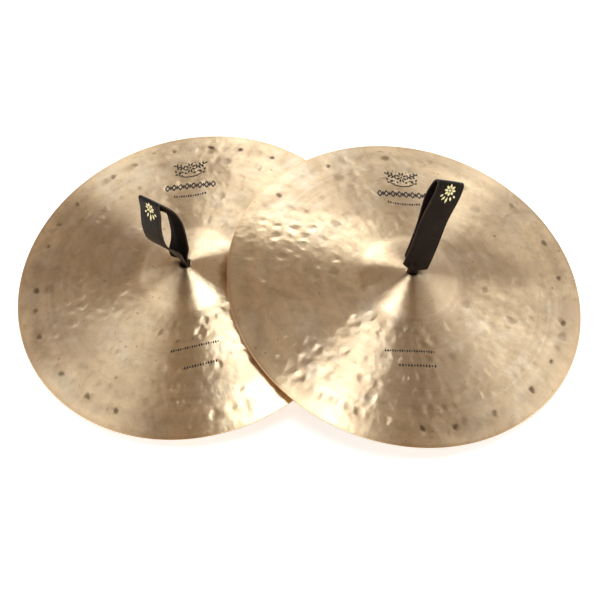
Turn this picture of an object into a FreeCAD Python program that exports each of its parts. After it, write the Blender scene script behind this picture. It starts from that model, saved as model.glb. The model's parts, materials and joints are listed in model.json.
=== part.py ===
import FreeCAD, Part
import os
from math import asin, cos, radians, sin, sqrt

# A pair of 18 inch orchestral hand cymbals. Each one is a thin bronze plate with a raised bell
# and a centre hole. A leather hand strap stands on it as a loop; the strap's two ends are slit
# into four thongs that go down through the hole, are tied in a flat knot under the bell and
# spread out as four tails. At rest each plate leans on its outer rim and on its tails, and the
# right plate's rim lies just above the left plate. Millimetres, +Z up, floor at Z = 0.

V = FreeCAD.Vector

# Plate, as a half section with heights above the rim's underside
RADIUS = 228.6
RIM_SLOPE = radians(11.5)       # how steeply the bow falls at the rim
FOOT_SLOPE = radians(3.2)       # and where it meets the bell
BELL_SLOPE = radians(24.0)      # steepest part of the bell
FOOT_RADIUS = 68.0              # foot of the bell, where the bow starts
FILLET_RADIUS = 30.0            # hollow curve between bow and bell
RIM_WALL = 1.1
FOOT_WALL = 1.3
BELL_WALL = 1.6
HOLE_RADIUS = 6.5

# Where each plate rests: its centre, the way it leans and by how much
LEFT_CENTRE = (-136.0, 13.7)
LEFT_HEADING = 184.5
LEFT_LEAN = 7.79
RIGHT_CENTRE = (137.0, -13.7)
RIGHT_HEADING = 3.6
RIGHT_LEAN = 9.58

# Leather strap
BAND_WIDTH = 36.5
BAND_THICK = 2.4
NECK_WIDTH = 11.0               # the band's ends, drawn together at the hole
NECK_RADIUS = 3.1               # the fold that the loop tilts on
THONG_WIDTH = 8.4
THONG_THICK = 2.1
RUNNING_GAP = 0.35              # between surfaces that only rub
PIVOT_LIFT = 0.6                # more room for the fold above the hole
STEM_DROP = 1.0                 # the thongs' upper ends lie this far below the plate's top
BAND_SAMPLES = 120              # points taken along the band to offset its middle line
BAND_TOLERANCE = 0.02
SLAB_DEPTH = 200.0              # of the slab that trims the band, more than any loop's depth
SHOULDER_FOOT = 1.0             # height where the band starts to widen

# Middle line of each loop seen along its width: (across, up) from the neck
LEFT_LOOP = [(-1.5, 0), (-4, 29), (-10.5, 50), (-13.5, 60), (-11.5, 77), (-3, 96), (3.5, 106),
             (8.5, 119.5), (19.5, 92), (20.5, 72), (10, 36), (1.5, 0)]
RIGHT_LOOP = [(-1.5, 0), (-1.8, 45), (0, 77), (-3.7, 109), (-3.5, 124), (2.5, 128.5), (9.5, 121),
              (13, 98), (8.2, 76), (3, 40), (1.5, 0)]
# Height over which each band widens from its neck to its full width
LEFT_SHOULDER = 42.0
RIGHT_SHOULDER = 14.0
# How each loop stands: turn about Z, rise of its width and lean across its width, in degrees
LEFT_STAND = (-42.2, 16.5, 11.0)
RIGHT_STAND = (7.7, -24.2, -20.2)

# Knot and tails, in the plate's frame
KNOT_SIZE = 24.0
KNOT_THICK = 12.0
KNOT_ROUNDING = 3.5
TAIL_OFFSET = 3.4               # each tail leaves its side of the knot off centre
TAIL_OUT = 21.0                 # radius where a tail hangs down
TAIL_SLOPE = 2.0                # and how far outwards it slopes before its last bend
TAIL_FOOT = 29.0                # radius where it reaches the floor
TAIL_REACH = 42.0               # radius of its tip
TAIL_BENDS = (5.0, 30.0, 7.0)   # radii of its bends, from the knot out
LEFT_KNOT_TURN = -10.0
RIGHT_KNOT_TURN = 40.0

# Worked out from the above
BOW_RADIUS = (RADIUS - FOOT_RADIUS) / (sin(RIM_SLOPE) - sin(FOOT_SLOPE))
FOOT_HEIGHT = RIM_WALL + BOW_RADIUS * (cos(FOOT_SLOPE) - cos(RIM_SLOPE))
BELL_EDGE = FOOT_RADIUS - FILLET_RADIUS * (sin(BELL_SLOPE) - sin(FOOT_SLOPE))
BELL_RADIUS = BELL_EDGE / sin(BELL_SLOPE)
BELL_HEIGHT = FOOT_HEIGHT + FILLET_RADIUS * (cos(FOOT_SLOPE) - cos(BELL_SLOPE))
TOP_HEIGHT = BELL_HEIGHT + BELL_RADIUS * (1 - cos(BELL_SLOPE))
STEM_TOP = TOP_HEIGHT - STEM_DROP
PIVOT_HEIGHT = TOP_HEIGHT + NECK_RADIUS + RUNNING_GAP + PIVOT_LIFT
KNOT_TOP = TOP_HEIGHT - BELL_WALL - KNOT_SIZE ** 2 / (4 * BELL_RADIUS) - RUNNING_GAP

# The three arcs of the plate's upper skin: centre, then signed radius (hollow ones negative)
BOW = (RADIUS - BOW_RADIUS * sin(RIM_SLOPE), RIM_WALL - BOW_RADIUS * cos(RIM_SLOPE), BOW_RADIUS)
FILLET = (FOOT_RADIUS + FILLET_RADIUS * sin(FOOT_SLOPE),
          FOOT_HEIGHT + FILLET_RADIUS * cos(FOOT_SLOPE), -FILLET_RADIUS)
BELL = (0.0, TOP_HEIGHT - BELL_RADIUS, BELL_RADIUS)


def skin_point(arc, slope, depth):
    """The point of an arc where it has this slope, a depth below the upper skin."""
    r, z, radius = arc
    reach = radius - depth
    return V(r + reach * sin(slope), 0, z + reach * cos(slope))


def skin_arc(arc, slopes, depths):
    """An edge along an arc between two slopes, with the wall's depth growing along it."""
    middle_slope = sum(slopes) / 2
    middle_depth = sum(depths) / 2
    start = skin_point(arc, slopes[0], depths[0])
    middle = skin_point(arc, middle_slope, middle_depth)
    end = skin_point(arc, slopes[1], depths[1])
    return Part.Arc(start, middle, end).toShape()


def plate():
    """The bronze plate, in its own frame: axis on Z, rim's underside at Z = 0."""
    hole_slope = asin(HOLE_RADIUS / BELL_RADIUS)
    lower_hole_slope = asin(HOLE_RADIUS / (BELL_RADIUS - BELL_WALL))
    upper = [skin_arc(BELL, (hole_slope, BELL_SLOPE), (0, 0)),
             skin_arc(FILLET, (BELL_SLOPE, FOOT_SLOPE), (0, 0)),
             skin_arc(BOW, (FOOT_SLOPE, RIM_SLOPE), (0, 0))]
    lower = [skin_arc(BELL, (lower_hole_slope, BELL_SLOPE), (BELL_WALL, BELL_WALL)),
             skin_arc(FILLET, (BELL_SLOPE, FOOT_SLOPE), (BELL_WALL, FOOT_WALL)),
             skin_arc(BOW, (FOOT_SLOPE, RIM_SLOPE), (FOOT_WALL, RIM_WALL))]
    rim = Part.makeLine(skin_point(BOW, RIM_SLOPE, 0), skin_point(BOW, RIM_SLOPE, RIM_WALL))
    hole = Part.makeLine(skin_point(BELL, hole_slope, 0),
                         skin_point(BELL, lower_hole_slope, BELL_WALL))
    section = Part.Wire(Part.__sortEdges__(upper + [rim] + lower + [hole]))
    return Part.Face(section).revolve(V(0, 0, 0), V(0, 0, 1), 360)


def resting_place(centre, heading, lean):
    """The placement that leans a plate over until its rim just touches the floor."""
    rim = skin_point(BOW, RIM_SLOPE, RIM_WALL)
    height = rim.x * sin(radians(lean)) - rim.z * cos(radians(lean))
    axis = V(-sin(radians(heading)), cos(radians(heading)), 0)
    return FreeCAD.Placement(V(centre[0], centre[1], height), FreeCAD.Rotation(axis, lean))


def strip(line, thickness, width):
    """A strip of leather with its middle line, an edge in the YZ plane, and its width along X."""
    first, last = line.ParameterRange
    sides = []
    for offset in (thickness / 2, -thickness / 2):
        points = []
        for step in range(BAND_SAMPLES + 1):
            place = first + (last - first) * step / BAND_SAMPLES
            along = line.tangentAt(place)
            points.append(line.valueAt(place) + V(0, -along.z, along.y) * offset)
        side = Part.BSplineCurve()
        side.approximate(Points=points, Tolerance=BAND_TOLERANCE)
        sides.append(side)
    left, right = sides
    ends = [Part.makeLine(left.StartPoint, right.StartPoint),
            Part.makeLine(left.EndPoint, right.EndPoint)]
    outline = Part.Wire(Part.__sortEdges__([left.toShape(), right.toShape()] + ends))
    solid = Part.Face(outline).extrude(V(width, 0, 0))
    solid.translate(V(-width / 2, 0, 0))
    return solid


def band_outline(top, shoulder):
    """A slab as wide as the flat band at every height, from its neck up."""
    neck = NECK_WIDTH / 2
    full = BAND_WIDTH / 2
    across = (full - neck) / 2
    rise = shoulder / 2
    radius = (across ** 2 + rise ** 2) / (2 * across)
    half_turn = asin(rise / radius) / 2
    bottom = -BAND_THICK
    foot = V(neck, 0, SHOULDER_FOOT)
    bend = V(radius * (1 - cos(half_turn)), 0, radius * sin(half_turn))
    middle = foot + V(across, 0, rise)
    widest = foot + V(full - neck, 0, shoulder)
    edges = [Part.makeLine(V(0, 0, bottom), V(neck, 0, bottom)),
             Part.makeLine(V(neck, 0, bottom), foot),
             Part.Arc(foot, foot + bend, middle).toShape(),
             Part.Arc(middle, widest - bend, widest).toShape(),
             Part.makeLine(widest, V(full, 0, top)),
             Part.makeLine(V(full, 0, top), V(0, 0, top)),
             Part.makeLine(V(0, 0, top), V(0, 0, bottom))]
    half = Part.Face(Part.Wire(edges)).extrude(V(0, SLAB_DEPTH, 0))
    half.translate(V(0, -SLAB_DEPTH / 2, 0))
    return half.fuse(half.mirror(V(0, 0, 0), V(1, 0, 0))).removeSplitter()


def strap_loop(points, shoulder):
    """The strap above the hole: neck at the origin, width along X, standing along Z."""
    line = Part.BSplineCurve()
    line.interpolate([V(0, across, up) for across, up in points])
    top = max(up for across, up in points) + 2 * BAND_THICK
    band = strip(line.toShape(), BAND_THICK, BAND_WIDTH).common(band_outline(top, shoulder))
    neck = Part.makeCylinder(NECK_RADIUS, NECK_WIDTH, V(-NECK_WIDTH / 2, 0, 0), V(1, 0, 0))
    return band.fuse(neck).removeSplitter()


def strap_knot():
    """The flat knot under the bell, with the four thongs that rise from it through the hole."""
    half = KNOT_SIZE / 2
    knot = Part.makeBox(KNOT_SIZE, KNOT_SIZE, KNOT_THICK, V(-half, -half, KNOT_TOP - KNOT_THICK))
    knot = knot.makeFillet(KNOT_ROUNDING, knot.Edges)
    stack = 4 * THONG_THICK
    stem = Part.makeBox(THONG_WIDTH, stack, STEM_TOP - KNOT_TOP + KNOT_THICK / 2,
                        V(-THONG_WIDTH / 2, -stack / 2, KNOT_TOP - KNOT_THICK / 2))
    return knot.fuse(stem).removeSplitter()


def strap_tail(place, turn):
    """One tail: out of the knot's side, down, and out again along the floor."""
    outwards = FreeCAD.Rotation(V(0, 0, 1), turn)
    across = place.Rotation.multVec(outwards.multVec(V(1, 0, 0)))
    ahead = place.Rotation.multVec(outwards.multVec(V(0, 1, 0)))
    up = place.Rotation.multVec(V(0, 0, 1))
    rest = THONG_THICK / 2 + THONG_WIDTH / 2 * abs(across.z)
    offset_rise = TAIL_OFFSET * across.z

    def floor_height(radius):
        return (rest - place.Base.z - radius * ahead.z - offset_rise) / up.z

    start = KNOT_TOP - KNOT_THICK / 2
    low = floor_height(TAIL_FOOT)
    corners = [V(0, KNOT_SIZE / 2, start), V(0, TAIL_OUT, start),
               V(0, TAIL_OUT + TAIL_SLOPE, (start + low) / 2), V(0, TAIL_FOOT, low),
               V(0, TAIL_REACH, floor_height(TAIL_REACH))]
    tail = flat_strip(corners, TAIL_BENDS, THONG_THICK, THONG_WIDTH)
    tail.translate(V(TAIL_OFFSET, 0, 0))
    tail.rotate(V(0, 0, 0), V(0, 0, 1), turn)
    return tail


def flat_strip(corners, radii, thickness, width):
    """A strip with straight runs joined by arcs: corners in the YZ plane, width along X."""
    sides = []
    for offset in (thickness / 2, -thickness / 2):
        runs = []
        for start, end in zip(corners, corners[1:]):
            along = (end - start).normalize()
            shift = V(0, -along.z, along.y) * offset
            runs.append((start + shift, along))
        sides.append(bent_side(runs, corners, radii, offset))
    left, right = sides
    ends = [Part.makeLine(left[0], right[0]), Part.makeLine(left[1], right[1])]
    outline = Part.Wire(Part.__sortEdges__(left[2] + right[2] + ends))
    solid = Part.Face(outline).extrude(V(width, 0, 0))
    solid.translate(V(-width / 2, 0, 0))
    return solid


def bent_side(runs, corners, radii, offset):
    """One side of a strip: its first and last points and its edges."""
    last_start, last_along = runs[-1]
    length = (corners[-1] - corners[-2]).Length
    first = runs[0][0]
    last = last_start + last_along * length
    edges = []
    here = first
    for (start, along), (next_start, next_along), radius in zip(runs, runs[1:], radii):
        turn = along.cross(next_along).x
        reach = (next_start - start).cross(next_along).x / turn
        corner = start + along * reach
        own_radius = radius - offset if turn > 0 else radius + offset
        half = asin(turn if turn > 0 else -turn) / 2
        set_back = own_radius * sin(half) / cos(half)
        before = corner - along * set_back
        after = corner + next_along * set_back
        inwards = (next_along - along).normalize()
        middle = corner + inwards * (own_radius / cos(half) - own_radius)
        edges.append(Part.makeLine(here, before))
        edges.append(Part.Arc(before, middle, after).toShape())
        here = after
    edges.append(Part.makeLine(here, last))
    return first, last, edges


def make_cymbal(side, centre, heading, lean, loop, shoulder, stand, knot_turn):
    """One cymbal with its strap, as named solids where they rest."""
    place = resting_place(centre, heading, lean)
    turn, rise, tilt = stand
    pivot = place.multVec(V(0, 0, PIVOT_HEIGHT))
    standing = FreeCAD.Placement(pivot, FreeCAD.Rotation(turn, -rise, tilt))
    pieces = {}
    pieces[side + "_cymbal"] = (plate(), place)
    pieces[side + "_strap_loop"] = (strap_loop(loop, shoulder), standing)
    knot = strap_knot()
    knot.rotate(V(0, 0, 0), V(0, 0, 1), knot_turn)
    pieces[side + "_strap_knot"] = (knot, place)
    for number in range(4):
        tail = strap_tail(place, knot_turn + 90 * number)
        pieces[side + "_strap_tail_" + str(number + 1)] = (tail, place)
    solids = {}
    for name, (shape, where) in pieces.items():
        shape.Placement = where.multiply(shape.Placement)
        solids[name] = shape
    axis = place.Rotation.multVec(V(0, 0, 1))
    hinge = standing.Rotation.multVec(V(1, 0, 0))
    print(side, "centre", place.Base, "axis", axis, "pivot", pivot, "tilt axis", hinge)
    return solids


def main():
    os.makedirs("parts", exist_ok=True)
    solids = {}
    solids.update(make_cymbal("left", LEFT_CENTRE, LEFT_HEADING, LEFT_LEAN,
                              LEFT_LOOP, LEFT_SHOULDER, LEFT_STAND, LEFT_KNOT_TURN))
    solids.update(make_cymbal("right", RIGHT_CENTRE, RIGHT_HEADING, RIGHT_LEAN,
                              RIGHT_LOOP, RIGHT_SHOULDER, RIGHT_STAND,
                              RIGHT_KNOT_TURN))
    for name, shape in solids.items():
        print(name, "volume", round(shape.Volume), "valid", shape.isValid(),
              "solids", len(shape.Solids))
        shape.exportStep("parts/" + name + ".step")


main()
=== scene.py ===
import json
import math
import random

import bpy
import numpy as np
from mathutils import Matrix, Vector


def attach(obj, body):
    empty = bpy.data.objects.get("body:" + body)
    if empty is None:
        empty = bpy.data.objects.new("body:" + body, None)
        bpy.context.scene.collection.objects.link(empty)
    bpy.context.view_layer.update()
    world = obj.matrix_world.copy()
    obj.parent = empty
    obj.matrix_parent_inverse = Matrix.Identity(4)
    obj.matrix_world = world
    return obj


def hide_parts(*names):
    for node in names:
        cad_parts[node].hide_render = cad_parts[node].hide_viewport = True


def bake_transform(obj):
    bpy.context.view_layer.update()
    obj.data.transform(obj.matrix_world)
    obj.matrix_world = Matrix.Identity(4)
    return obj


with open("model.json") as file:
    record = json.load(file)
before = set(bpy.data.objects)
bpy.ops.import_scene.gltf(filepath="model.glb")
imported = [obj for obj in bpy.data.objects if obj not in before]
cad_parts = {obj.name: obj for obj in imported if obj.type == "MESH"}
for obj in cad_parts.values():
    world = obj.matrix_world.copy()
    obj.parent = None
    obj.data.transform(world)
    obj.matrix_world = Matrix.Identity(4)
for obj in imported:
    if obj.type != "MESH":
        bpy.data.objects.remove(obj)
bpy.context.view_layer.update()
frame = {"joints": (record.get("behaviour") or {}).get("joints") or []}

# ---------------------------------------------------------------- sizes, in metres, as in the CAD
RADIUS = 0.2286
RIM_SLOPE = math.radians(11.5)
FOOT_SLOPE = math.radians(3.2)
BELL_SLOPE = math.radians(24.0)
FOOT_RADIUS = 0.068
FILLET_RADIUS = 0.030
RIM_WALL = 0.0011
FOOT_WALL = 0.0013
BELL_WALL = 0.0016
HOLE_RADIUS = 0.0065
NECK_RADIUS = 0.0031      # the fold that each loop tilts on
RUNNING_GAP = 0.00035     # between surfaces that only rub
PIVOT_LIFT = 0.0006       # more room for the fold above the hole

BOW_RADIUS = (RADIUS - FOOT_RADIUS) / (math.sin(RIM_SLOPE) - math.sin(FOOT_SLOPE))
FOOT_HEIGHT = RIM_WALL + BOW_RADIUS * (math.cos(FOOT_SLOPE) - math.cos(RIM_SLOPE))
BELL_EDGE = FOOT_RADIUS - FILLET_RADIUS * (math.sin(BELL_SLOPE) - math.sin(FOOT_SLOPE))
BELL_RADIUS = BELL_EDGE / math.sin(BELL_SLOPE)
BELL_HEIGHT = FOOT_HEIGHT + FILLET_RADIUS * (math.cos(FOOT_SLOPE) - math.cos(BELL_SLOPE))
TOP_HEIGHT = BELL_HEIGHT + BELL_RADIUS * (1 - math.cos(BELL_SLOPE))

# the bell is left smooth, and the bow is hammered in rings
HAMMERED_FROM = 0.076
HAMMERED_TO = 0.221
HAMMER_RINGS = (0.078, 0.096, 0.118, 0.140, 0.160, 0.181, 0.203)
RIM_RING = 0.205
# how far the outlines of the blows wander from round, in metres, and how fast
UNEVEN = 0.0010
UNEVEN_RATES = (410.0, 370.0, 160.0)
# stretches of the rim with small dark marks: first and last direction and spacing, in degrees
RIM_MARKS = {"left": ((46, 250, 13),), "right": ((270, 402, 16), (118, 150, 28))}

joints = {joint["name"]: joint for joint in frame["joints"]}


def plate_frame(side):
    """The matrix from a plate's own frame, axis on Z and rim at Z = 0, to the row frame."""
    swivel = joints[side + "_strap_swivel"]
    axis = Vector(swivel["axis"])
    turn = Vector((0, 0, 1)).rotation_difference(axis)
    centre = Vector(swivel["pos_m"]) - axis * TOP_HEIGHT
    return Matrix.Translation(centre) @ turn.to_matrix().to_4x4()


# ---------------------------------------------------------------- the plates' shape

def top_height(radius):
    """Height of the smooth upper skin at these radii."""
    bow_x = RADIUS - BOW_RADIUS * math.sin(RIM_SLOPE)
    bow_z = RIM_WALL - BOW_RADIUS * math.cos(RIM_SLOPE)
    fillet_x = FOOT_RADIUS + FILLET_RADIUS * math.sin(FOOT_SLOPE)
    fillet_z = FOOT_HEIGHT + FILLET_RADIUS * math.cos(FOOT_SLOPE)
    bow = bow_z + np.sqrt(BOW_RADIUS ** 2 - (radius - bow_x) ** 2)
    fillet = fillet_z - np.sqrt(np.maximum(FILLET_RADIUS ** 2 - (radius - fillet_x) ** 2, 0))
    bell = TOP_HEIGHT - BELL_RADIUS + np.sqrt(np.maximum(BELL_RADIUS ** 2 - radius ** 2, 0))
    return np.where(radius < BELL_EDGE, bell, np.where(radius < FOOT_RADIUS, fillet, bow))


def wall(radius):
    """The plate's thickness at these radii."""
    return np.interp(radius, [BELL_EDGE, FOOT_RADIUS, RADIUS], [BELL_WALL, FOOT_WALL, RIM_WALL])


def hammer_marks(seed, rim_marks):
    """Every hammer blow on one plate: x, y, radius, depth and grime, lengths in metres.

    The blows lie in rings, with lighter ones scattered between them and small dark ones
    near the rim.
    """
    chance = random.Random(seed)
    marks = []

    def strike(ring, angle, size, depth, grime=0.0):
        marks.append((ring * math.cos(angle), ring * math.sin(angle), size, depth, grime))

    # rings of close blows, some of them deep, with a gap now and then
    for ring in HAMMER_RINGS:
        angle = chance.uniform(0, 2 * math.pi)
        last = angle + 2 * math.pi - 0.010 / ring
        while angle < last:
            deep = chance.random() < 0.28
            depth = chance.uniform(0.00034, 0.00058) if deep else chance.uniform(0.00010, 0.00028)
            grime = 0.5 * chance.random() if chance.random() < 0.10 else 0.0
            strike(ring + chance.uniform(-0.0035, 0.0035), angle, chance.uniform(0.0058, 0.0090),
                   depth, grime)
            missed = chance.uniform(0.015, 0.050) if chance.random() < 0.14 else 0.0
            angle += (chance.uniform(0.0130, 0.0210) + missed) / ring
    # light blows between the rings
    ring = HAMMERED_FROM + 0.002
    while ring < HAMMERED_TO:
        angle = chance.uniform(0, 2 * math.pi)
        last = angle + 2 * math.pi
        while angle < last:
            strike(ring + chance.uniform(-0.005, 0.005), angle, chance.uniform(0.0045, 0.0090),
                   chance.uniform(0.00003, 0.00014))
            angle += chance.uniform(0.010, 0.024) / ring
        ring += chance.uniform(0.008, 0.012)
    # wide and shallow dips
    for _ in range(80):
        strike(chance.uniform(HAMMERED_FROM, HAMMERED_TO - 0.01), chance.uniform(0, 2 * math.pi),
               chance.uniform(0.013, 0.024), chance.uniform(0.00008, 0.00030))
    # small dark marks near the rim
    for first, last, spacing in rim_marks:
        for degrees in range(first, last, spacing):
            angle = math.radians(degrees + chance.uniform(-0.3, 0.3) * spacing)
            strike(RIM_RING + chance.uniform(-0.002, 0.002), angle, chance.uniform(0.0038, 0.0058),
                   chance.uniform(0.00022, 0.00040), chance.uniform(0.7, 1.0))
    return np.array(marks)


def marked_depth(marks, x, y):
    """How far the hammer blows lower the skin at each point, and how much grime they hold."""
    x, y = (x + UNEVEN * np.sin(UNEVEN_RATES[0] * y + 3 * np.sin(UNEVEN_RATES[2] * x)),
            y + UNEVEN * np.sin(UNEVEN_RATES[1] * x + 3 * np.sin(UNEVEN_RATES[2] * y)))
    depth = np.zeros_like(x)
    grime = np.zeros_like(x)
    for mark_x, mark_y, size, deep, dirt in marks:
        near = (abs(x - mark_x) < size) & (abs(y - mark_y) < size)
        if not near.any():
            continue
        spread = ((x[near] - mark_x) ** 2 + (y[near] - mark_y) ** 2) / size ** 2
        bowl = np.maximum(1 - spread, 0) ** 1.5
        depth[near] += deep * bowl
        grime[near] = np.maximum(grime[near], dirt * np.minimum(bowl * 1.8, 1))
    return depth, grime


def ring_list():
    """The plate's rings from the hole's upper edge out to the rim and back underneath.

    Each ring is its radius, how far down through the wall it lies (0 on top, 1 underneath) and
    its number of points.
    """
    rings = []
    for radius in np.linspace(HOLE_RADIUS, 0.030, 10):
        rings.append((radius, 0.0, 150))
    for radius in np.linspace(0.0325, 0.074, 19):
        rings.append((radius, 0.0, 300))
    for radius in np.linspace(0.0757, RADIUS - 0.0012, 86):
        rings.append((radius, 0.0, 600))
    for turn in np.linspace(0.1, 0.9, 5):
        rings.append((RADIUS - 0.0004 * abs(2 * turn - 1) ** 2, turn, 600))
    for radius in np.linspace(RADIUS - 0.0015, 0.0745, 50):
        rings.append((radius, 1.0, 300))
    for radius in np.linspace(0.072, 0.030, 14):
        rings.append((radius, 1.0, 300))
    for radius in np.linspace(0.0275, HOLE_RADIUS, 8):
        rings.append((radius, 1.0, 150))
    rings.append(rings[0])
    return rings


def plate_mesh(name, marks):
    """The plate's mesh in its own frame, with a polar UV map: turn and radius."""
    rings = ring_list()
    points = []
    grime = []
    starts = []
    for radius, under, count in rings[:-1]:
        starts.append(len(points))
        angle = np.linspace(0, 2 * math.pi, count, endpoint=False)
        x = radius * np.cos(angle)
        y = radius * np.sin(angle)
        radii = np.full(count, radius)
        depth, dirt = marked_depth(marks, x, y)
        z = top_height(radii) - wall(radii) * under - depth * (1 - 0.5 * under)
        points.extend(np.stack([x, y, z], 1).tolist())
        grime.extend(dirt * (1 - under))
    starts.append(starts[0])
    faces = []
    polar = []
    for index in range(len(rings) - 1):
        first, second = rings[index], rings[index + 1]
        join_rings(faces, polar, starts[index], first, starts[index + 1], second)
    mesh = bpy.data.meshes.new(name)
    mesh.from_pydata(points, [], faces)
    layer = mesh.uv_layers.new(name="polar")
    layer.data.foreach_set("uv", np.array(polar, np.float32).ravel())
    dirty = mesh.attributes.new("grime", "FLOAT", "POINT")
    dirty.data.foreach_set("value", np.array(grime, np.float32))
    mesh.validate()
    mesh.shade_smooth()
    return mesh


def join_rings(faces, polar, start_a, ring_a, start_b, ring_b):
    """Faces between two rings; one may have twice as many points as the other."""
    radius_a, _, count_a = ring_a
    radius_b, _, count_b = ring_b

    def corner(start, radius, count, step):
        return start + step % count, (step / count, radius)

    def add(*corners):
        faces.append([index for index, _ in corners])
        polar.extend(uv for _, uv in corners)

    for step in range(min(count_a, count_b)):
        if count_a == count_b:
            add(corner(start_a, radius_a, count_a, step), corner(start_b, radius_b, count_b, step),
                corner(start_b, radius_b, count_b, step + 1),
                corner(start_a, radius_a, count_a, step + 1))
        elif count_b == 2 * count_a:
            near = corner(start_a, radius_a, count_a, step)
            far = corner(start_a, radius_a, count_a, step + 1)
            middle = corner(start_b, radius_b, count_b, 2 * step + 1)
            add(near, corner(start_b, radius_b, count_b, 2 * step), middle)
            add(near, middle, far)
            add(far, middle, corner(start_b, radius_b, count_b, 2 * step + 2))
        else:
            near = corner(start_b, radius_b, count_b, step)
            far = corner(start_b, radius_b, count_b, step + 1)
            middle = corner(start_a, radius_a, count_a, 2 * step + 1)
            add(near, middle, corner(start_a, radius_a, count_a, 2 * step))
            add(near, far, middle)
            add(far, corner(start_a, radius_a, count_a, 2 * step + 2), middle)


# ---------------------------------------------------------------- materials

class Tree:
    """Short ways to lay out a material's nodes."""

    def __init__(self, material):
        self.nodes = material.node_tree.nodes
        self.links = material.node_tree.links

    def feed(self, socket, value):
        """Link another node's output to the socket, or give it a plain value."""
        if isinstance(value, bpy.types.NodeSocket):
            self.links.new(value, socket)
        else:
            socket.default_value = value

    def math(self, operation, first, second):
        node = self.nodes.new("ShaderNodeMath")
        node.operation = operation
        self.feed(node.inputs[0], first)
        self.feed(node.inputs[1], second)
        return node.outputs[0]

    def mix(self, amount, first, second, kind="MIX"):
        """The first colour going over to the second one by amount."""
        node = self.nodes.new("ShaderNodeMix")
        node.data_type = "RGBA"
        node.blend_type = kind
        self.feed(node.inputs["Factor"], amount)
        self.feed(node.inputs["A"], first)
        self.feed(node.inputs["B"], second)
        return node.outputs["Result"]

    def span(self, value, low, high, to_low=0.0, to_high=1.0):
        """The value's place between low and high, held inside the new range."""
        node = self.nodes.new("ShaderNodeMapRange")
        for socket, number in zip(node.inputs, (value, low, high, to_low, to_high)):
            self.feed(socket, number)
        return node.outputs["Result"]

    def noise(self, place, scale, detail=2.0, roughness=0.5, distortion=0.0):
        node = self.nodes.new("ShaderNodeTexNoise")
        self.feed(node.inputs["Vector"], place)
        node.inputs["Scale"].default_value = scale
        node.inputs["Detail"].default_value = detail
        node.inputs["Roughness"].default_value = roughness
        node.inputs["Distortion"].default_value = distortion
        return node.outputs["Fac"]

    def line_noise(self, along, scale, detail=2.0):
        """Noise that changes only with the one value along."""
        node = self.nodes.new("ShaderNodeTexNoise")
        node.noise_dimensions = "1D"
        self.feed(node.inputs["W"], along)
        node.inputs["Scale"].default_value = scale
        node.inputs["Detail"].default_value = detail
        return node.outputs["Fac"]

    def attribute(self, name):
        node = self.nodes.new("ShaderNodeAttribute")
        node.attribute_name = name
        return node.outputs["Fac"]

    def place(self):
        """Places in the object's own space."""
        return self.nodes.new("ShaderNodeTexCoord").outputs["Object"]

    def bump(self, height, strength, distance, after=None):
        """The surface's direction after this relief, on top of an earlier one if given."""
        node = self.nodes.new("ShaderNodeBump")
        node.inputs["Strength"].default_value = strength
        node.inputs["Distance"].default_value = distance
        self.feed(node.inputs["Height"], height)
        if after is not None:
            self.feed(node.inputs["Normal"], after)
        return node.outputs["Normal"]


def new_material(name):
    """A new material, its node tree and its shader's inputs."""
    material = bpy.data.materials.new(name)
    material.use_nodes = True
    tree = Tree(material)
    return material, tree, tree.nodes["Principled BSDF"].inputs


METAL_ROUGHNESS = 0.30


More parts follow.
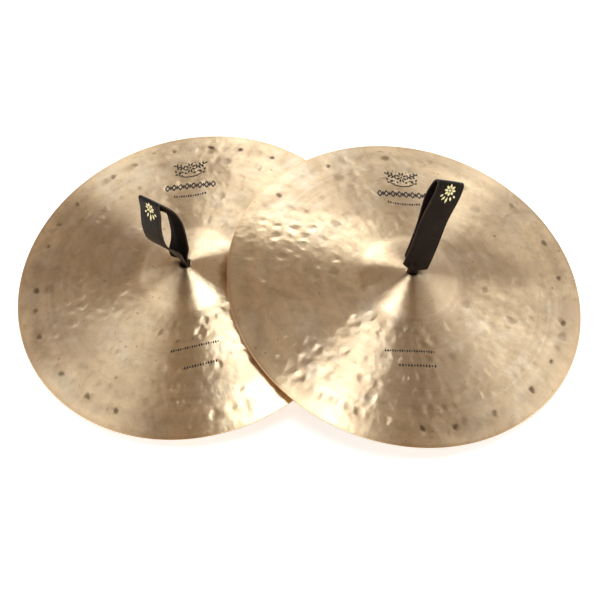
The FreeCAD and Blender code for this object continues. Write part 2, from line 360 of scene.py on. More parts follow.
def bronze():
    """Lathed and hammered bronze: fine turned grooves stretch every reflection outwards."""
    material, tree, shader = new_material("bronze")
    shader["Metallic"].default_value = 1.0
    shader["Anisotropic"].default_value = 1.0
    shader["Anisotropic Rotation"].default_value = 0.25
    tangent = tree.nodes.new("ShaderNodeTangent")
    tangent.direction_type = "UV_MAP"
    tangent.uv_map = "polar"
    tree.feed(shader["Tangent"], tangent.outputs["Tangent"])

    place = tree.place()
    polar = tree.nodes.new("ShaderNodeUVMap")
    polar.uv_map = "polar"
    split = tree.nodes.new("ShaderNodeSeparateXYZ")
    tree.feed(split.inputs[0], polar.outputs["UV"])
    radius = split.outputs["Y"]

    # tarnish in four sizes of patch, some pale and some dark
    smoke = tree.span(tree.noise(place, 8, 5, 0.62, 0.6), 0.43, 0.60)
    colour = tree.mix(tree.math("MULTIPLY", smoke, 0.85), (0.87, 0.638, 0.40, 1),
                      (0.60, 0.42, 0.265, 1))
    pale = tree.span(tree.noise(place, 21, 4, 0.6, 0.3), 0.50, 0.74)
    colour = tree.mix(tree.math("MULTIPLY", pale, 0.6), colour, (0.86, 0.71, 0.53, 1))
    tarnish = tree.span(tree.noise(place, 27, 6, 0.68, 0.8), 0.52, 0.70)
    colour = tree.mix(tree.math("MULTIPLY", tarnish, 0.45), colour, (0.52, 0.33, 0.19, 1))
    mottle = tree.span(tree.noise(place, 75, 4, 0.65), 0.50, 0.72)
    colour = tree.mix(tree.math("MULTIPLY", mottle, 0.50), colour, (0.54, 0.355, 0.19, 1))
    # faint turned rings and broken pale arcs
    band = tree.span(tree.line_noise(radius, 70, 3), 0.30, 0.70, 0.94, 1.04)
    groove = tree.span(tree.line_noise(radius, 1600, 1), 0.2, 0.8, 0.965, 1.03)
    arcs = tree.math("MULTIPLY", tree.span(tree.line_noise(radius, 230, 2), 0.58, 0.70),
                     tree.span(tree.noise(place, 9, 3), 0.46, 0.62))
    colour = tree.mix(tree.math("MULTIPLY", arcs, 0.15), colour, (0.90, 0.74, 0.55, 1))
    tone = tree.nodes.new("ShaderNodeCombineColor")
    shade = tree.math("MULTIPLY", band, groove)
    for socket in tone.inputs:
        tree.feed(socket, shade)
    colour = tree.mix(1.0, colour, tone.outputs[0], "MULTIPLY")
    # dark specks, a painted reflection: a browner orange-brown line along the rim, and the grime that
    # some blows hold
    spots = tree.span(tree.noise(place, 130, 2, 0.5), 0.70, 0.76)
    colour = tree.mix(tree.math("MULTIPLY", spots, 0.55), colour, (0.30, 0.17, 0.08, 1))
    rim = tree.span(radius, 0.2235, 0.2282)
    colour = tree.mix(tree.math("MULTIPLY", rim, 0.55), colour, (0.70, 0.43, 0.20, 1))
    grime = tree.attribute("grime")
    colour = tree.mix(tree.math("MULTIPLY", grime, 0.85), colour, (0.20, 0.12, 0.07, 1))
    tree.feed(shader["Base Color"], colour)

    dull = tree.math("ADD", tree.span(smoke, 0, 1, 0.0, 0.05), METAL_ROUGHNESS)
    tree.feed(shader["Roughness"], tree.math("ADD", dull, tree.math("MULTIPLY", grime, 0.25)))
    turned = tree.bump(tree.line_noise(radius, 2600, 1), 1.0, 0.00003)
    uneven = tree.bump(tree.noise(place, 95, 3, 0.55), 1.0, 0.00022, turned)
    tree.feed(shader["Normal"], uneven)
    return material


# ---------------------------------------------------------------- building the plates

BRONZE = bronze()
MARK_SEEDS = {"left": 11, "right": 23}


def build_plate(side):
    """One cymbal's skin, riding on its plate."""
    marks = hammer_marks(MARK_SEEDS[side], RIM_MARKS[side])
    mesh = plate_mesh(side + "_plate_skin", marks)
    mesh.transform(plate_frame(side))
    plate = bpy.data.objects.new(side + "_plate_skin", mesh)
    bpy.context.scene.collection.objects.link(plate)
    mesh.materials.append(BRONZE)
    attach(plate, side + "_plate")
    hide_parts(side + "_cymbal")


for side in ("left", "right"):
    build_plate(side)


# ---------------------------------------------------------------- the straps' shape

def curve_through(points):
    """A smooth curve through these points: a function from 0..1 to places on it."""
    points = np.array(points, float)
    steps = np.linalg.norm(np.diff(points, axis=0), axis=1)
    knots = np.concatenate([[0], np.cumsum(steps)])
    count = len(points)
    system = np.eye(count)
    right = np.zeros_like(points)
    for row in range(1, count - 1):
        before, after = steps[row - 1], steps[row]
        system[row, row - 1:row + 2] = (before, 2 * (before + after), after)
        right[row] = 6 * ((points[row + 1] - points[row]) / after
                          - (points[row] - points[row - 1]) / before)
    bends = np.linalg.solve(system, right)

    def at(share):
        along = np.atleast_1d(share) * knots[-1]
        span = np.clip(np.searchsorted(knots, along, side="right") - 1, 0, count - 2)
        width = steps[span][:, None]
        back = (knots[span + 1] - along)[:, None]
        ahead = (along - knots[span])[:, None]
        return ((bends[span] * back ** 3 + bends[span + 1] * ahead ** 3) / (6 * width)
                + (points[span] / width - bends[span] * width / 6) * back
                + (points[span + 1] / width - bends[span + 1] * width / 6) * ahead)

    return at


def smooth(value):
    """An even rise from 0 to 1 while the value goes from 0 to 1, with flat ends."""
    value = np.clip(value, 0, 1)
    return value * value * (3 - 2 * value)


BAND_HALF = 0.01825
BAND_THICK = 0.0024
BAND_CROWN = 0.0003
WORN_WIDTH = 0.0010
BAND_STATIONS = 230
NECK_HALF = 0.0055
THONG_WIDTH = 0.0084
THONG_THICK = 0.0021
PIVOT_HEIGHT = TOP_HEIGHT + NECK_RADIUS + RUNNING_GAP + PIVOT_LIFT
KNOT_SIZE = 0.024
KNOT_THICK = 0.012
KNOT_TOP = TOP_HEIGHT - BELL_WALL - KNOT_SIZE ** 2 / (4 * BELL_RADIUS) - RUNNING_GAP
# Under the pivot the band's two layers draw together, run straight down and end inside the knot
NECK_PINCH = 0.85
NECK_STRAIGHT = 0.0035
NECK_DROP = PIVOT_HEIGHT - KNOT_TOP + 0.002
# how finely each loop's middle line is searched
LINE_STEPS = 2000

# The middle line of each loop seen along its width, in millimetres: (across, up)
LOOPS = {"left": [(-1.5, 0), (-4, 29), (-10.5, 50), (-13.5, 60), (-11.5, 77), (-3, 96),
                  (3.5, 107), (6.2, 114.5), (9.0, 119.3), (12.6, 113.5), (19.5, 92), (20.5, 72),
                  (10, 36), (1.5, 0)],
         "right": [(-1.5, 0), (-1.8, 45), (0, 77), (-3.7, 109), (-3.4, 122), (-0.8, 128.2),
                   (4.2, 127.2), (9.6, 118), (13, 98), (8.2, 76), (3, 40), (1.5, 0)]}
# How each loop stands: turn about Z, rise of its width and lean across its width, in degrees
STANDS = {"left": (-42.2, 16.5, 11.0), "right": (7.7, -24.2, -20.2)}
# Height in metres over which each edge of the band widens from the neck:
# front layer's two edges, then back layer's
SHOULDERS = {"left": ((0.044, 0.038), (0.006, 0.034)), "right": ((0.0085, 0.0050), (0.020, 0.010))}
# How far each knot is turned about its plate's axis, in degrees
KNOT_TURNS = {"left": -10.0, "right": 40.0}


class Band:
    """One hand strap's band: where any point of it is, from its neck round and back."""

    def __init__(self, side):
        self.side = side
        plate = plate_frame(side)
        pivot = plate @ Vector((0, 0, PIVOT_HEIGHT))
        turn, rise, lean = (math.radians(angle) for angle in STANDS[side])
        spin = (Matrix.Rotation(turn, 3, "Z") @ Matrix.Rotation(-rise, 3, "Y")
                @ Matrix.Rotation(lean, 3, "X"))
        axis = plate.to_3x3() @ Vector((0, 0, 1))
        width = spin @ Vector((1, 0, 0))
        width = (width - axis * width.dot(axis)).normalized()
        below = Matrix((width, axis.cross(width), axis)).transposed()
        self.pivot = np.array(pivot)
        self.above = np.array(spin)
        self.below = np.array(below)
        self.axis = np.array(axis)
        line = [(across / 1000, up / 1000) for across, up in LOOPS[side]]
        front, back = line[0][0] * NECK_PINCH, line[-1][0] * NECK_PINCH
        line = ([(front, -NECK_DROP), (front, -NECK_STRAIGHT)] + line
                + [(back, -NECK_STRAIGHT), (back, -NECK_DROP)])
        self.line = curve_through(line)
        places = self.line(np.linspace(0, 1, LINE_STEPS + 1))
        self.top_share = float(np.argmax(places[:, 1])) / LINE_STEPS

    def middle(self, share):
        """Places on the middle line and the outward direction there: (across, up) each."""
        step = 1 / LINE_STEPS
        place = self.line(share)
        along = self.line(np.minimum(share + step, 1)) - self.line(np.maximum(share - step, 0))
        along /= np.linalg.norm(along, axis=1)[:, None]
        return place, np.stack([-along[:, 1], along[:, 0]], 1)

    def edges(self, share):
        """The band's two edges along its width, from the narrow neck to its full width."""
        place, _ = self.middle(share)
        height = place[:, 1]
        front, back = SHOULDERS[self.side]
        swap = smooth((np.asarray(share) - self.top_share) / 0.1 + 0.5)
        both = []
        for edge, sign in ((0, -1), (1, 1)):
            ahead = NECK_HALF + (BAND_HALF - NECK_HALF) * smooth(height / front[edge])
            behind = NECK_HALF + (BAND_HALF - NECK_HALF) * smooth(height / back[edge])
            both.append(sign * (ahead * (1 - swap) + behind * swap))
        if self.side == "left":
            tuck = smooth(height / 0.008) * (1 - smooth((height - 0.010) / 0.022)) * (1 - swap)
            both[0] = both[0] + 0.0058 * tuck
            both[1] = both[1] + 0.0010 * tuck
        return both

    def puckers(self, place, share, across):
        """How far the gathered leather stands out of flat, near the neck."""
        height = place[:, 1]
        behind = smooth((np.asarray(share) - self.top_share) / 0.1 + 0.5)
        if self.side == "left":
            curl = smooth((-across - 0.004) / 0.010) * smooth(height / 0.008)
            cup = -0.0052 * curl * (1 - smooth((height - 0.012) / 0.018)) * behind
            spread = (0.0065 * smooth((height - 0.012) / 0.030)
                      - 0.0185 * smooth((height - 0.066) / 0.028)
                      + 0.0120 * smooth((height - 0.095) / 0.014))
            open_side = smooth(-across / BAND_HALF) * spread * behind
            flare = 0.0016 * smooth((across - 0.004) / 0.010) * smooth(height / 0.008)
            flare = flare * (1 - smooth((height - 0.012) / 0.03)) * (1 - behind)
            return cup + flare + open_side
        dimple = np.exp(-((across + 0.0030) / 0.0030) ** 2 - ((height - 0.0070) / 0.0036) ** 2)
        lip = np.exp(-((across - 0.0030) / 0.0028) ** 2 - ((height - 0.0078) / 0.0040) ** 2)
        fold = np.exp(-((across + 0.010) / 0.0035) ** 2) * smooth(height / 0.01)
        fold = fold * (1 - smooth((height - 0.012) / 0.03))
        return (0.0016 * lip - 0.0024 * dimple + 0.0008 * fold) * (1 - behind)

    def point(self, share, across, out):
        """Places in the row frame: along the band, across its width, out of its middle."""
        share = np.broadcast_to(share, np.shape(across))
        place, outward = self.middle(share)
        lift = out + self.puckers(place, share, across)
        flat = place + outward * lift[:, None]
        local = np.stack([across, flat[:, 0], flat[:, 1]], 1)
        loose = smooth((flat[:, 1] + 0.004) / 0.008)[:, None]
        return self.pivot + local @ self.above.T * loose + local @ self.below.T * (1 - loose)


def band_section():
    """The band's outline as rows of: share across, distance from the nearer edge, out.

    The outer face dips in a creased line along each edge.
    """
    half = BAND_THICK / 2
    outside = [(0.00000, 0.30), (0.00025, 0.68), (0.00070, 0.93), (0.0013, 1.00), (0.0021, 1.00),
               (0.0025, 0.90), (0.0028, 0.80), (0.0031, 0.90), (0.0036, 1.00)]
    rows = [(-1, inset, out * half) for inset, out in outside]
    rows += [(share, None, half) for share in np.linspace(-0.7, 0.7, 9)]
    rows += [(1, inset, out * half) for inset, out in reversed(outside)]
    inside = [(0.00000, -0.30), (0.00025, -0.68), (0.00070, -0.93), (0.0015, -1.00), (0.004, -1.00)]
    rows += [(1, inset, out * half) for inset, out in inside]
    rows += [(share, None, -half) for share in np.linspace(0.6, -0.6, 7)]
    rows += [(-1, inset, out * half) for inset, out in reversed(inside)]
    return rows


def tube_faces(stations, around):
    """Faces of a closed skin: rings of points joined in order, and a cap at each end."""
    faces = []
    for station in range(stations - 1):
        for step in range(around):
            near = station * around + step
            side = station * around + (step + 1) % around
            faces.append((near, side, side + around, near + around))
    faces.append(tuple(reversed(range(around))))
    last = (stations - 1) * around
    faces.append(tuple(last + step for step in range(around)))
    return faces


def band_mesh(band):
    """The band's mesh, with how near each point is to a worn edge and to the inner face."""
    shares = np.linspace(0, 1, BAND_STATIONS)
    low, high = band.edges(shares)
    rings = []
    worn = []
    inner = []
    for share, inset, out in band_section():
        edge = low if share < 0 else high
        half = abs(edge)
        if inset is None:
            across = np.where(share < 0, low * -share, high * share)
            crown = BAND_CROWN * (1 - share ** 2)
        else:
            across = edge - np.sign(edge) * inset * np.minimum(half / BAND_HALF, 1)
            crown = 0.0
        rings.append(band.point(shares, across, np.full(BAND_STATIONS, out + crown)))
        rim = 0.0 if inset is None else max(0.0, 1 - inset / WORN_WIDTH)
        worn.append(np.full(BAND_STATIONS, rim))
        inner.append(np.full(BAND_STATIONS, 1.0 if out < -BAND_THICK / 5 else 0.0))
    around = len(rings)
    points = np.stack(rings, 1).reshape(-1, 3)
    mesh = bpy.data.meshes.new(band.side + "_strap_band")
    mesh.from_pydata(points.tolist(), [], tube_faces(BAND_STATIONS, around))
    for name, values in (("worn", worn), ("inner", inner)):
        layer = mesh.attributes.new(name, "FLOAT", "POINT")
        layer.data.foreach_set("value", np.stack(values, 1).ravel().astype(np.float32))
    mesh.validate()
    mesh.shade_smooth()
    return mesh


def add_piece(mesh, material):
    """A new object with this mesh and material, linked into the scene."""
    piece = bpy.data.objects.new(mesh.name, mesh)
    mesh.materials.append(material)
    bpy.context.scene.collection.objects.link(piece)
    return piece


def leather():
    """Near-black strap leather: fine grain, worn brown edges and a rough inner face, painted darker as
    shade.
    """
    material, tree, shader = new_material("strap_leather")
    place = tree.place()
    cloudy = tree.span(tree.noise(place, 60, 4, 0.6), 0.35, 0.70)
    colour = tree.mix(cloudy, (0.0058, 0.0034, 0.0024, 1), (0.0130, 0.0075, 0.0050, 1))
    shader["Specular IOR Level"].default_value = 0.17
    shader["Specular Tint"].default_value = (1.0, 0.74, 0.58, 1)
    inner = tree.attribute("inner")
    # painted shade: the inner face, a rough flesh side, is coloured darker than the outer face, as the
    # shaded inside of the loop
    colour = tree.mix(inner, colour, (0.0045, 0.0014, 0.0010, 1))
    worn = tree.math("MULTIPLY", tree.attribute("worn"), tree.span(cloudy, 0, 1, 0.5, 1.0))
    colour = tree.mix(worn, colour, (0.075, 0.048, 0.036, 1))
    tree.feed(shader["Base Color"], colour)
    rough = tree.span(tree.noise(place, 240, 3, 0.6), 0.3, 0.7, 0.40, 0.52)
    tree.feed(shader["Roughness"], tree.math("ADD", rough, tree.math("MULTIPLY", inner, 0.38)))
    cells = tree.nodes.new("ShaderNodeTexVoronoi")
    cells.feature = "SMOOTH_F1"
    cells.inputs["Scale"].default_value = 1300
    tree.feed(cells.inputs["Vector"], place)
    grain = tree.bump(cells.outputs["Distance"], 0.55, 0.00012)
    crease = tree.bump(tree.noise(place, 150, 5, 0.65, 0.6), 0.35, 0.0005, grain)
    tree.feed(shader["Normal"], crease)
    return material


# ---------------------------------------------------------------- the knots and their tails

def ribbon_mesh(name, places, sideways, width, thick):
    """A flat strip along these places, with rounded edges and its width along sideways."""
    places = np.array(places, float)
    along = np.gradient(places, axis=0)
    along /= np.linalg.norm(along, axis=1)[:, None]
    sideways = np.array(sideways, float)
    sideways = sideways - along * np.sum(sideways * along, axis=1)[:, None]
    sideways /= np.linalg.norm(sideways, axis=1)[:, None]
    outward = np.cross(sideways, along)
    half = width / 2
    corner = thick * 0.36
    outline = [(-half, 0.15), (-half + corner * 0.4, 0.40), (-half + corner, 0.5), (-half * 0.5, 0.53),
               (0, 0.54), (half * 0.5, 0.53), (half - corner, 0.5), (half - corner * 0.4, 0.40),
               (half, 0.15)]
    outline += [(across, -out) for across, out in reversed(outline)]
    rings = [places + sideways * across + outward * out * thick for across, out in outline]
    points = np.stack(rings, 1).reshape(-1, 3)
    mesh = bpy.data.meshes.new(name)
    mesh.from_pydata(points.tolist(), [], tube_faces(len(places), len(outline)))
    edges = [1.0 if abs(across) > half - corner * 0.5 else 0.0 for across, _ in outline]
    for layer_name, values in (("worn", edges), ("inner", [0.0] * len(outline))):
        layer = mesh.attributes.new(layer_name, "FLOAT", "POINT")
        layer.data.foreach_set("value", np.tile(values, len(places)).astype(np.float32))
    mesh.validate()
    mesh.shade_smooth()
    return mesh


# Where each thong runs, from its plate's axis: how far aside in the knot and in the tail, then
# how far out to the bend, the floor and the tip
WEAVE_OFFSET = 0.0043
TAIL_OFFSET = 0.0034
TAIL_OUT = 0.021
TAIL_FOOT = 0.029
TAIL_REACH = 0.042
THONG_STATIONS = 110


def thong_path(plate, turn):
    """One thong in the plate's frame: over the knot, under it, out and down to the floor."""
    outwards = Matrix.Rotation(turn, 3, "Z")
    spin = plate.to_3x3()
    ahead = spin @ (outwards @ Vector((0, 1, 0)))
    across = spin @ (outwards @ Vector((1, 0, 0)))
    up = spin @ Vector((0, 0, 1))
    rest = THONG_THICK / 2 + THONG_WIDTH / 2 * abs(across.z)

    def floor_height(radius):
        return (rest - plate.translation.z - radius * ahead.z - TAIL_OFFSET * across.z) / up.z

    top = KNOT_TOP - 0.00115
    low = KNOT_TOP - KNOT_THICK + 0.00120
    inner = low + 0.00215
    leave = KNOT_TOP - KNOT_THICK / 2
    foot = floor_height(TAIL_FOOT)
    route = [(WEAVE_OFFSET, 0.0020, top), (WEAVE_OFFSET, -0.0060, top),
             (WEAVE_OFFSET, -0.0098, top - 0.0016), (WEAVE_OFFSET, -0.01085, leave),
             (WEAVE_OFFSET, -0.0093, inner + 0.0004), (WEAVE_OFFSET, -0.0043, inner),
             (WEAVE_OFFSET, 0.0000, (low + inner) / 2), (WEAVE_OFFSET, 0.0043, low),
             (WEAVE_OFFSET, 0.0086, low + 0.0006), (0.0040, 0.0125, leave - 0.0015),
             (0.0036, 0.0165, leave + 0.0001), (TAIL_OFFSET, TAIL_OUT - 0.001, leave - 0.0016),
             (TAIL_OFFSET, TAIL_OUT + 0.0022, leave * 0.45 + foot * 0.55),
             (TAIL_OFFSET, TAIL_FOOT - 0.0030, foot + 0.0022),
             (TAIL_OFFSET, TAIL_FOOT + 0.0035, floor_height(TAIL_FOOT + 0.0035)),
             (TAIL_OFFSET, TAIL_REACH - 0.006, floor_height(TAIL_REACH - 0.006)),
             (TAIL_OFFSET, TAIL_REACH, floor_height(TAIL_REACH) + 0.0011)]
    return route


def build_knot(side, material):
    """The four thongs of one strap, woven into its knot and spread out as tails."""
    plate = plate_frame(side)
    for number in range(4):
        turn = math.radians(KNOT_TURNS[side] + 90 * number)
        outwards = Matrix.Rotation(turn, 3, "Z")
        places = curve_through(thong_path(plate, turn))(np.linspace(0, 1, THONG_STATIONS))
        into = np.array(plate.to_3x3() @ outwards)
        places = places @ into.T + np.array(plate.translation)
        sideways = np.tile(into @ np.array((1.0, 0, 0)), (len(places), 1))
        name = side + "_strap_thong_" + str(number + 1)
        thong = add_piece(ribbon_mesh(name, places, sideways, THONG_WIDTH, THONG_THICK), material)
        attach(thong, side + "_knot")
        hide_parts(side + "_strap_tail_" + str(number + 1))
        if number == 0:
            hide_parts(side + "_strap_knot")


LEATHER = leather()


def build_strap(side):
    """One strap: the band, blended between its knot and its loop, and the thongs."""
    band = Band(side)
    strap = add_piece(band_mesh(band), LEATHER)
    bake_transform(strap)
    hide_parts(side + "_strap_loop")
    build_knot(side, LEATHER)


for side in ("left", "right"):
    build_strap(side)


# ---------------------------------------------------------------- printed and foil ornament

def bar(points, width, step=1.2):
    """A drawn line as its two sides, in millimetres, with a point at least every step."""
    points = np.array(points, float)
    dense = [points[0]]
    for start, end in zip(points, points[1:]):
        parts = max(1, int(math.ceil(np.linalg.norm(end - start) / step)))
        dense += [start + (end - start) * part / parts for part in range(1, parts + 1)]
    dense = np.array(dense)
    along = np.gradient(dense, axis=0)
    along /= np.linalg.norm(along, axis=1)[:, None]
    aside = np.stack([-along[:, 1], along[:, 0]], 1) * width / 2
    return dense + aside, dense - aside


def leaf(x, y, degrees, length, width):
    """A pointed leaf that starts at x, y, as its two sides."""
    share = np.linspace(0, 1, 7)
    half = width / 2 * np.maximum(np.sin(math.pi * share), 0.06)
    turn = math.radians(degrees)
    ahead = np.array((math.cos(turn), math.sin(turn)))
    aside = np.array((-ahead[1], ahead[0]))
    middle = np.array((x, y)) + ahead * length * share[:, None]
    return middle + aside * half[:, None], middle - aside * half[:, None]


def dot(x, y, radius):
    """A round dot, as its two sides."""
    turn = np.linspace(0.12, math.pi - 0.12, 7)
    across = radius * np.sin(turn)
    along = -radius * np.cos(turn)
    return (np.stack([x + along, y + across], 1), np.stack([x + along, y - across], 1))


def lozenge(x, y, width, height, line):
    """A hollow lozenge, as four lines."""
    corners = [(x - width / 2, y), (x, y + height / 2), (x + width / 2, y), (x, y - height / 2)]
    return [bar([corners[side], corners[(side + 1) % 4]], line) for side in range(4)]


def moved(marks, x, y, degrees):
    """The same marks turned by this angle and set at x, y."""
    turn = math.radians(degrees)
    spin = np.array(((math.cos(turn), math.sin(turn)), (-math.sin(turn), math.cos(turn))))
    return [tuple(sides @ spin + (x, y) for sides in mark) for mark in marks]


def spray():
    """A small flower between two leafy twigs, about 43 mm wide and 29 mm tall."""
    marks = [dot(0, 1, 1.3)]
    marks += [leaf(2.0 * math.cos(turn), 1 + 2.0 * math.sin(turn), math.degrees(turn), 5.4, 2.5)
              for turn in np.linspace(0, 2 * math.pi, 8, endpoint=False) + 0.39]
    for side in (-1, 1):
        twig = [(side * x, y) for x, y in ((7, -1), (10, 1.5), (13, 3), (16.5, 3.2), (19.5, 5.5))]
        marks.append(bar(twig, 1.5))
        curl = [(side * (12 + 3.2 * math.cos(turn)), -6 + 2.6 * math.sin(turn))
                for turn in np.linspace(2.6, -2.2, 12)]
        marks.append(bar(curl, 1.4))
        for x, y, lean in ((9, 1, 115), (10.5, 1.4, -25), (13, 3, 100), (15, 3, -40), (17.5, 4, 95),
                           (19, 5, 20), (12, -6, 40), (16, -6.5, 5), (18.5, -4, 60), (8, -5, 200)):
            angle = lean if side > 0 else 180 - lean
            marks.append(leaf(side * x, y, angle, 4.4, 2.5))
        marks.append(dot(side * 6.5, 7.5, 0.8))
        marks.append(dot(side * 10.5, 8.8, 0.6))
    garland = [(x, -11 + 0.012 * x * x) for x in np.linspace(-11, 11, 15)]
    marks.append(bar(garland, 1.4))
    taller = np.array((1.0, 1.4))
    return [tuple(sides * taller for sides in mark) for mark in marks]


def beads(width, height, line, count):
    """A row of hollow lozenges with upright bars between them."""
    marks = []
    pitch = width / count
    for number in range(count):
        x = (number + 0.5) * pitch - width / 2
        marks += lozenge(x, 0, pitch * 0.66, height, line)
        if number:
            edge = x - pitch / 2
            marks.append(bar([(edge, -height * 0.32), (edge, height * 0.32)], line))
    return marks


def dashes(width, height, count, sag=0.0):
    """A row of little upright leaves and dots, hanging by sag in the middle."""
    marks = []
    for number in range(count):
        x = (number + 0.5) * width / count - width / 2
        y = sag * ((2 * x / width) ** 2 - 1)
        if number % 3 == 2:
            marks.append(dot(x, y, height * 0.24))
        else:
            marks.append(leaf(x, y - height / 2, 90, height, height * 0.5))
    return marks


def raised_mesh(name, marks, at, lift, sunk):
    """Closed thin shapes on a surface: at(u, v, height) gives places for arrays of u and v."""
    points = []
    faces = []
    for left, right in marks:
        start = len(points)
        count = len(left)
        outline = np.concatenate([left, right])
        for height in (lift, -sunk):
            points.extend(at(outline[:, 0], outline[:, 1], height).tolist())
        under = 2 * count
        for step in range(count - 1):
            near, far = start + step, start + count + step
            faces.append((near, far, far + 1, near + 1))
            faces.append((near + under, near + 1 + under, far + 1 + under, far + under))
            faces.append((near, near + 1, near + 1 + under, near + under))
            faces.append((far + 1, far, far + under, far + 1 + under))
        for step, flip in ((0, False), (count - 1, True)):
            near, far = start + step, start + count + step
            end = (near, near + under, far + under, far)
            faces.append(tuple(reversed(end)) if flip else end)
    mesh = bpy.data.meshes.new(name)
    mesh.from_pydata(points, [], faces)
    mesh.validate()
    return mesh


# Where each ornament sits on its plate: x and y from the axis in millimetres, turn in degrees
PRINTS = {"left": ((0, 168, 1), (1, 136, 0), (1, 121, 1), (9, -111, 8), (16, -136, 9)),
          "right": ((3, 166, 0), (2, 136, 0), (2, 121, -2), (-7, -106, 1), (2, -125, 1))}
# Widths of the two rows in front of the hole, in millimetres
LOWER_WIDTHS = {"left": (62, 43), "right": (63, 48)}
INK_HALF = 0.00006
FOIL_LIFT = 0.00010
FOIL_SUNK = 0.00020


def ink():
    """Dark brown printing ink, thin and a little worn."""
    material, tree, shader = new_material("printing_ink")
    place = tree.place()
    worn = tree.span(tree.noise(place, 420, 3, 0.6), 0.50, 0.80, 0.0, 0.6)
    colour = tree.mix(worn, (0.018, 0.011, 0.008, 1), (0.10, 0.065, 0.04, 1))
    tree.feed(shader["Base Color"], colour)
    shader["Specular IOR Level"].default_value = 0.25
    tree.feed(shader["Roughness"], tree.span(tree.noise(place, 200, 2), 0.3, 0.7, 0.50, 0.65))
    tree.feed(shader["Normal"], tree.bump(tree.noise(place, 900, 2), 0.3, 0.00005))
    return material


def foil():
    """Pale gold hot foil, slightly rubbed."""
    material, tree, shader = new_material("gold_foil")
    place = tree.place()
    rubbed = tree.span(tree.noise(place, 500, 3, 0.6), 0.50, 0.72, 0.0, 0.6)
    colour = tree.mix(rubbed, (0.86, 0.74, 0.40, 1), (0.38, 0.28, 0.13, 1))
    tree.feed(shader["Base Color"], colour)
    shader["Metallic"].default_value = 0.85
    tree.feed(shader["Roughness"], tree.span(rubbed, 0, 0.6, 0.34, 0.55))
    tree.feed(shader["Normal"], tree.bump(tree.noise(place, 1100, 2), 0.4, 0.00006))
    return material


INK = ink()
FOIL = foil()


def build_print(side):
    """The ornament printed on one plate, following its hammer blows."""
    blows = hammer_marks(MARK_SEEDS[side], RIM_MARKS[side])
    upper, lower = LOWER_WIDTHS[side]
    rows = (spray(), beads(70, 10.5, 1.9, 8), dashes(44, 4.8, 14, 2.6), dashes(upper, 4.4, 21),
            dashes(lower, 4.8, 13))
    marks = []
    for row, (x, y, turn) in zip(rows, PRINTS[side]):
        marks += moved(row, x, y, turn)
    matrix = plate_frame(side)
    spin = np.array(matrix.to_3x3())
    centre = np.array(matrix.translation)

    def at(u, v, height):
        x, y = u / 1000, v / 1000
        depth, _ = marked_depth(blows, x, y)
        z = top_height(np.hypot(x, y)) - depth + height
        return np.stack([x, y, z], 1) @ spin.T + centre

    piece = add_piece(raised_mesh(side + "_print", marks, at, INK_HALF, INK_HALF), INK)
    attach(piece, side + "_plate")


def foil_marks():
    """A tapering foil ornament: a flower of eight petals over five hanging leaves."""
    marks = [dot(0, -6.5, 1.5)]
    marks += [leaf(2.2 * math.cos(turn), -6.5 + 2.2 * math.sin(turn), math.degrees(turn), 5.4, 3.2)
              for turn in np.linspace(0, 2 * math.pi, 8, endpoint=False)]
    marks += [leaf(x, y, lean, long, 2.6) for x, y, lean, long in
              ((0, -15.5, -90, 9.5), (-3.6, -14.8, -112, 6.5), (3.6, -14.8, -68, 6.5),
               (-7.0, -12.6, -130, 4.5), (7.0, -12.6, -50, 4.5))]
    return marks


# How far the foil ornament starts below the loop's top along the band, and its place across it
FOIL_PLACES = {"left": (2.5, 1.5), "right": (3.5, 0.5)}


def build_foil(band):
    """The foil ornament on the front of one loop."""
    shares = np.linspace(0, 1, 2 * LINE_STEPS + 1)
    places = band.line(shares)
    lengths = np.concatenate([[0], np.cumsum(np.linalg.norm(np.diff(places, axis=0), axis=1))])
    start, aside = FOIL_PLACES[band.side]
    top = np.interp(band.top_share, shares, lengths) - start / 1000

    def at(u, v, height):
        share = np.interp(top + v / 1000, lengths, shares)
        across = (u + aside) / 1000
        crown = BAND_CROWN * (1 - (across / BAND_HALF) ** 2)
        return band.point(share, across, BAND_THICK / 2 + crown + height)

    mesh = raised_mesh(band.side + "_foil", foil_marks(), at, FOIL_LIFT, FOIL_SUNK)
    piece = add_piece(mesh, FOIL)
    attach(piece, band.side + "_loop")


for side in ("left", "right"):
    build_print(side)
    build_foil(Band(side))


# ---------------------------------------------------------------- floor, light and camera

def floor():
    """A round pale floor that turns up into a low wall far away, so no view runs past it."""
    reach, height, sides = 14.0, 3.2, 96
    turns = np.linspace(0, 2 * math.pi, sides, endpoint=False)
    ring = [(reach * math.cos(turn), reach * math.sin(turn)) for turn in turns]
    points = [(x, y, 0) for x, y in ring] + [(x, y, height) for x, y in ring]
    faces = [tuple(range(sides))]
    for step in range(sides):
        after = (step + 1) % sides
        faces.append((after, step, step + sides, after + sides))
    mesh = bpy.data.meshes.new("floor")
    mesh.from_pydata(points, [], faces)
    thing = bpy.data.objects.new("floor", mesh)
    thing.location.z = -0.0003
    bpy.context.scene.collection.objects.link(thing)
    material, _, shader = new_material("floor")
    shader["Base Color"].default_value = (0.92, 0.92, 0.92, 1)
    shader["Roughness"].default_value = 0.9
    shader["Emission Color"].default_value = (0.94, 0.98, 1, 1)
    shader["Emission Strength"].default_value = 0.5
    mesh.materials.append(material)


def soft_box(name, place, width, height, glow):
    """A cool soft box turned to the middle of the floor, with a face glowing this brightly."""
    lamp = bpy.data.lights.new(name, "AREA")
    lamp.shape = "RECTANGLE"
    lamp.size = width
    lamp.size_y = height
    lamp.energy = glow * math.pi * width * height
    lamp.color = COOL
    thing = bpy.data.objects.new(name, lamp)
    thing.location = place
    thing.rotation_euler = (Vector((0, 0, 0)) - Vector(place)).to_track_quat("-Z", "Y").to_euler()
    thing.visible_camera = False
    bpy.context.scene.collection.objects.link(thing)


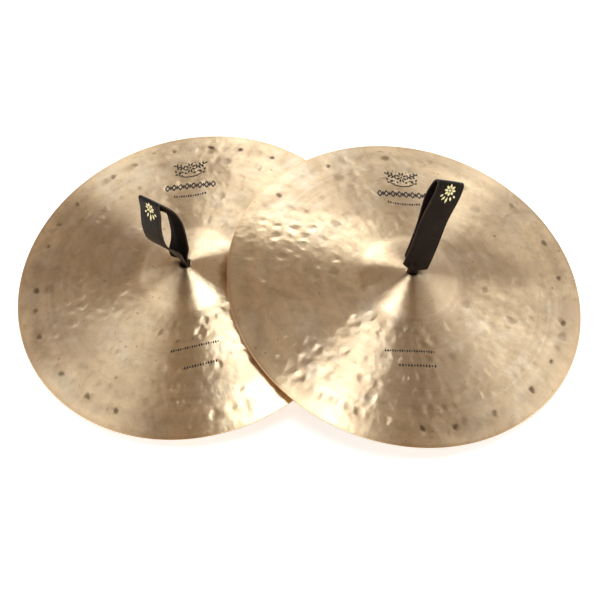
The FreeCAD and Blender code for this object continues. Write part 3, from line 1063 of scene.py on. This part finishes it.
def light_room():
    """A soft box overhead, and pale panels standing around the table."""
    soft_box("overhead", (0.0, -0.30, 2.1), 0.76, 0.80, KEY_GLOW)
    for name, degrees, out, up, width, height, glow in PANELS:
        turn = math.radians(degrees)
        place = (out * math.cos(turn), out * math.sin(turn), up)
        soft_box(name, place, width, height, glow)


def surroundings():
    """A warm glow all round, which the metal mirrors wherever no lamp shows."""
    world = bpy.data.worlds.new("surroundings")
    world.use_nodes = True
    background = world.node_tree.nodes["Background"]
    background.inputs["Color"].default_value = WARM
    background.inputs["Strength"].default_value = WARM_STRENGTH
    bpy.context.scene.world = world


def camera():
    """A long lens in front of the cymbals, looking steeply down at them."""
    target = Vector((0.0022, -0.0225, 0.030))
    distance = 1.903
    elevation = math.radians(57.44)
    heading = math.radians(0.91)
    roll = math.radians(-0.98)
    ahead = Vector((math.sin(heading) * math.cos(elevation),
                    math.cos(heading) * math.cos(elevation), -math.sin(elevation)))
    lens = bpy.data.cameras.new("camera")
    lens.lens = 90
    lens.sensor_width = 36
    thing = bpy.data.objects.new("camera", lens)
    thing.location = target - ahead * distance
    thing.rotation_euler = (ahead.to_track_quat("-Z", "Y").to_matrix()
                            @ Matrix.Rotation(roll, 3, "Z")).to_euler()
    bpy.context.scene.collection.objects.link(thing)
    bpy.context.scene.camera = thing


bpy.context.scene.view_settings.view_transform = "Standard"
WARM = (1.0, 0.78, 0.57, 1)
WARM_STRENGTH = 0.285
COOL = (0.80, 0.92, 1.0)
KEY_GLOW = 10.5
# Each panel: name, direction in degrees, distance out, height, its own width and height in
# metres, and how brightly it glows
PANELS = (("wall_right", 0, 2.7, 0.9, 3.6, 0.9, 2.0), ("wall_back", 90, 2.7, 0.9, 3.6, 0.9, 2.0),
          ("wall_left", 180, 2.7, 0.9, 3.6, 0.9, 1.0), ("front", -90, 2.4, 1.8, 1.3, 0.8, 0.5),
          ("right", 25, 2.4, 1.8, 3.6, 0.8, 1.5), ("back", 90, 2.4, 1.8, 1.3, 0.8, 5.0),
          ("left", 195, 2.4, 1.8, 2.6, 0.8, 1.3), ("high_front", -90, 1.8, 2.4, 1.4, 0.8, 1.5),
          ("high_right", 0, 1.8, 2.4, 1.4, 0.8, 1.0), ("high_left", 180, 1.8, 2.4, 1.4, 0.8, 0.8))
floor()
light_room()
surroundings()
camera()
